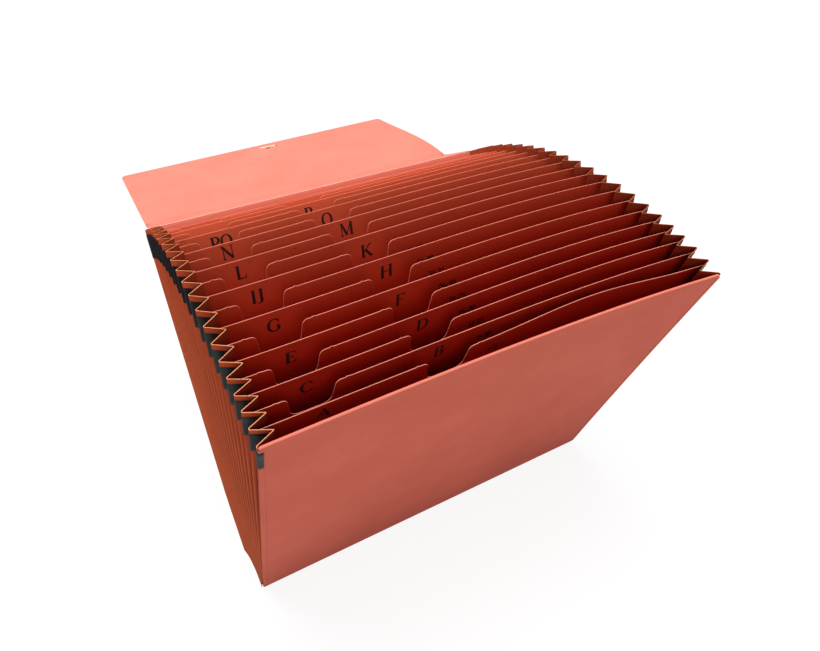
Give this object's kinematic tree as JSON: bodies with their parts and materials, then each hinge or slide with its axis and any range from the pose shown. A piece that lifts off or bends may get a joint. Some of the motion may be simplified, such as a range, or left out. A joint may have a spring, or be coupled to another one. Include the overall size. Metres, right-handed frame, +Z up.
{
  "type": "accordion file folder",
  "caption": "Expanding accordion file folder standing open as a fan: stiff covers, notched index dividers, pleated side gussets and a long flap folded back.",
  "frame": {"origin": "on the table, midway across the width and midway from the front cover's lip to the flap's free edge", "axes": "+X along the folder's width to the right, +Y from the front cover to the back, +Z up"},
  "size_m": [0.305, 0.4518, 0.2666],
  "materials": {
    "cover_board": "matte fibre board",
    "divider_paper": "matte card",
    "gusset_paper": "matte paper with a dark tape",
    "flap_board": "matte fibre board",
    "closure_plastic": "satin"
  },
  "bodies": {
    "front_cover": {"front_cover": "cover_board", "gusset_01": "gusset_paper"},
    "divider_01": {"divider_01": "divider_paper", "gusset_02": "gusset_paper"},
    "divider_02": {"divider_02": "divider_paper", "gusset_03": "gusset_paper"},
    "divider_03": {"divider_03": "divider_paper", "gusset_04": "gusset_paper"},
    "divider_04": {"divider_04": "divider_paper", "gusset_05": "gusset_paper"},
    "divider_05": {"divider_05": "divider_paper", "gusset_06": "gusset_paper"},
    "divider_06": {"divider_06": "divider_paper", "gusset_07": "gusset_paper"},
    "divider_07": {"divider_07": "divider_paper", "gusset_08": "gusset_paper"},
    "divider_08": {"divider_08": "divider_paper", "gusset_09": "gusset_paper"},
    "divider_09": {"divider_09": "divider_paper", "gusset_10": "gusset_paper"},
    "divider_10": {"divider_10": "divider_paper", "gusset_11": "gusset_paper"},
    "divider_11": {"divider_11": "divider_paper"},
    "divider_12": {"divider_12": "divider_paper", "gusset_12": "gusset_paper"},
    "divider_13": {"divider_13": "divider_paper", "gusset_13": "gusset_paper"},
    "divider_14": {"divider_14": "divider_paper", "gusset_14": "gusset_paper"},
    "divider_15": {"divider_15": "divider_paper", "gusset_15": "gusset_paper"},
    "divider_16": {"divider_16": "divider_paper", "gusset_16": "gusset_paper"},
    "divider_17": {"divider_17": "divider_paper", "gusset_17": "gusset_paper"},
    "divider_18": {"divider_18": "divider_paper", "gusset_18": "gusset_paper"},
    "divider_19": {"divider_19": "divider_paper", "gusset_19": "gusset_paper"},
    "divider_20": {"divider_20": "divider_paper", "gusset_20": "gusset_paper"},
    "back_cover": {"back_cover": "cover_board", "gusset_21": "gusset_paper"},
    "flap_spine": {"flap_spine": "flap_board"},
    "flap": {"flap": "flap_board", "closure_bar": "closure_plastic"}
  },
  "joints": [
    {"name": "pocket_01_fold", "type": "hinge", "parent": "divider_01", "child": "front_cover", "pos_m": [0, -0.11796, 0.0011], "axis": [-1, 0, 0], "range_deg": [0, 1.85], "deforming": ["gusset_01"]},
    {"name": "pocket_02_fold", "type": "hinge", "parent": "divider_02", "child": "divider_01", "pos_m": [0, -0.11548, 0.00216], "axis": [-1, 0, 0], "range_deg": [0, 1.85], "deforming": ["gusset_02"]},
    {"name": "pocket_03_fold", "type": "hinge", "parent": "divider_03", "child": "divider_02", "pos_m": [0, -0.11371, 0.00284], "axis": [-1, 0, 0], "range_deg": [0, 1.85], "deforming": ["gusset_03"]},
    {"name": "pocket_04_fold", "type": "hinge", "parent": "divider_04", "child": "divider_03", "pos_m": [0, -0.11192, 0.00347], "axis": [-1, 0, 0], "range_deg": [0, 1.92], "deforming": ["gusset_04"]},
    {"name": "pocket_05_fold", "type": "hinge", "parent": "divider_05", "child": "divider_04", "pos_m": [0, -0.1101, 0.00404], "axis": [-1, 0, 0], "range_deg": [0, 2.1], "deforming": ["gusset_05"]},
    {"name": "pocket_06_fold", "type": "hinge", "parent": "divider_06", "child": "divider_05", "pos_m": [0, -0.10827, 0.00454], "axis": [-1, 0, 0], "range_deg": [0, 2.33], "deforming": ["gusset_06"]},
    {"name": "pocket_07_fold", "type": "hinge", "parent": "divider_07", "child": "divider_06", "pos_m": [0, -0.10642, 0.00497], "axis": [-1, 0, 0], "range_deg": [0, 2.55], "deforming": ["gusset_07"]},
    {"name": "pocket_08_fold", "type": "hinge", "parent": "divider_08", "child": "divider_07", "pos_m": [0, -0.10455, 0.00531], "axis": [-1, 0, 0], "range_deg": [0, 2.73], "deforming": ["gusset_08"]},
    {"name": "pocket_09_fold", "type": "hinge", "parent": "divider_09", "child": "divider_08", "pos_m": [0, -0.10267, 0.00557], "axis": [-1, 0, 0], "range_deg": [0, 2.8], "deforming": ["gusset_09"]},
    {"name": "pocket_10_fold", "type": "hinge", "parent": "divider_10", "child": "divider_09", "pos_m": [0, -0.10077, 0.00573], "axis": [-1, 0, 0], "range_deg": [0, 2.8], "deforming": ["gusset_10"]},
    {"name": "pocket_11_fold", "type": "hinge", "parent": "divider_11", "child": "divider_10", "pos_m": [0, -0.09887, 0.0058], "axis": [-1, 0, 0], "range_deg": [0, 2.8], "deforming": ["gusset_11"]},
    {"name": "pocket_12_fold", "type": "hinge", "parent": "divider_11", "child": "divider_12", "pos_m": [0, -0.09508, 0.00575], "axis": [1, 0, 0], "range_deg": [0, 2.8], "deforming": ["gusset_12"]},
    {"name": "pocket_13_fold", "type": "hinge", "parent": "divider_12", "child": "divider_13", "pos_m": [0, -0.09318, 0.00564], "axis": [1, 0, 0], "range_deg": [0, 2.8], "deforming": ["gusset_13"]},
    {"name": "pocket_14_fold", "type": "hinge", "parent": "divider_13", "child": "divider_14", "pos_m": [0, -0.09129, 0.00543], "axis": [1, 0, 0], "range_deg": [0, 2.8], "deforming": ["gusset_14"]},
    {"name": "pocket_15_fold", "type": "hinge", "parent": "divider_14", "child": "divider_15", "pos_m": [0, -0.08941, 0.00513], "axis": [1, 0, 0], "range_deg": [0, 2.8], "deforming": ["gusset_15"]},
    {"name": "pocket_16_fold", "type": "hinge", "parent": "divider_15", "child": "divider_16", "pos_m": [0, -0.08755, 0.00474], "axis": [1, 0, 0], "range_deg": [0, 2.8], "deforming": ["gusset_16"]},
    {"name": "pocket_17_fold", "type": "hinge", "parent": "divider_16", "child": "divider_17", "pos_m": [0, -0.08572, 0.00425], "axis": [1, 0, 0], "range_deg": [0, 2.8], "deforming": ["gusset_17"]},
    {"name": "pocket_18_fold", "type": "hinge", "parent": "divider_17", "child": "divider_18", "pos_m": [0, -0.0839, 0.00368], "axis": [1, 0, 0], "range_deg": [0, 2.8], "deforming": ["gusset_18"]},
    {"name": "pocket_19_fold", "type": "hinge", "parent": "divider_18", "child": "divider_19", "pos_m": [0, -0.08212, 0.00302], "axis": [1, 0, 0], "range_deg": [0, 2.8], "deforming": ["gusset_19"]},
    {"name": "pocket_20_fold", "type": "hinge", "parent": "divider_19", "child": "divider_20", "pos_m": [0, -0.08038, 0.00228], "axis": [1, 0, 0], "range_deg": [0, 2.8], "deforming": ["gusset_20"]},
    {"name": "pocket_21_fold", "type": "hinge", "parent": "divider_20", "child": "back_cover", "pos_m": [0, -0.07795, 0.0011], "axis": [1, 0, 0], "range_deg": [0, 2.8], "deforming": ["gusset_21"]},
    {"name": "spine_crease", "type": "hinge", "parent": "back_cover", "child": "flap_spine", "pos_m": [0, 0.05152, 0.23376], "axis": [1, 0, 0], "range_deg": [-88, 162]},
    {"name": "flap_crease", "type": "hinge", "parent": "flap_spine", "child": "flap", "pos_m": [0, 0.0924, 0.21831], "axis": [1, 0, 0], "range_deg": [-22, 0]}
  ],
  "couplings": [
    {"joint": "pocket_01_fold", "follows": "pocket_12_fold", "ratio": 0.66071},
    {"joint": "pocket_02_fold", "follows": "pocket_12_fold", "ratio": 0.66071},
    {"joint": "pocket_03_fold", "follows": "pocket_12_fold", "ratio": 0.66071},
    {"joint": "pocket_04_fold", "follows": "pocket_12_fold", "ratio": 0.68585},
    {"joint": "pocket_05_fold", "follows": "pocket_12_fold", "ratio": 0.74868},
    {"joint": "pocket_06_fold", "follows": "pocket_12_fold", "ratio": 0.83036},
    {"joint": "pocket_07_fold", "follows": "pocket_12_fold", "ratio": 0.91204},
    {"joint": "pocket_08_fold", "follows": "pocket_12_fold", "ratio": 0.97487},
    {"joint": "pocket_09_fold", "follows": "pocket_12_fold", "ratio": 1},
    {"joint": "pocket_10_fold", "follows": "pocket_12_fold", "ratio": 1},
    {"joint": "pocket_11_fold", "follows": "pocket_12_fold", "ratio": 1},
    {"joint": "pocket_13_fold", "follows": "pocket_12_fold", "ratio": 1},
    {"joint": "pocket_14_fold", "follows": "pocket_12_fold", "ratio": 1},
    {"joint": "pocket_15_fold", "follows": "pocket_12_fold", "ratio": 1},
    {"joint": "pocket_16_fold", "follows": "pocket_12_fold", "ratio": 1},
    {"joint": "pocket_17_fold", "follows": "pocket_12_fold", "ratio": 1},
    {"joint": "pocket_18_fold", "follows": "pocket_12_fold", "ratio": 1},
    {"joint": "pocket_19_fold", "follows": "pocket_12_fold", "ratio": 1},
    {"joint": "pocket_20_fold", "follows": "pocket_12_fold", "ratio": 1},
    {"joint": "pocket_21_fold", "follows": "pocket_12_fold", "ratio": 1}
  ]
}
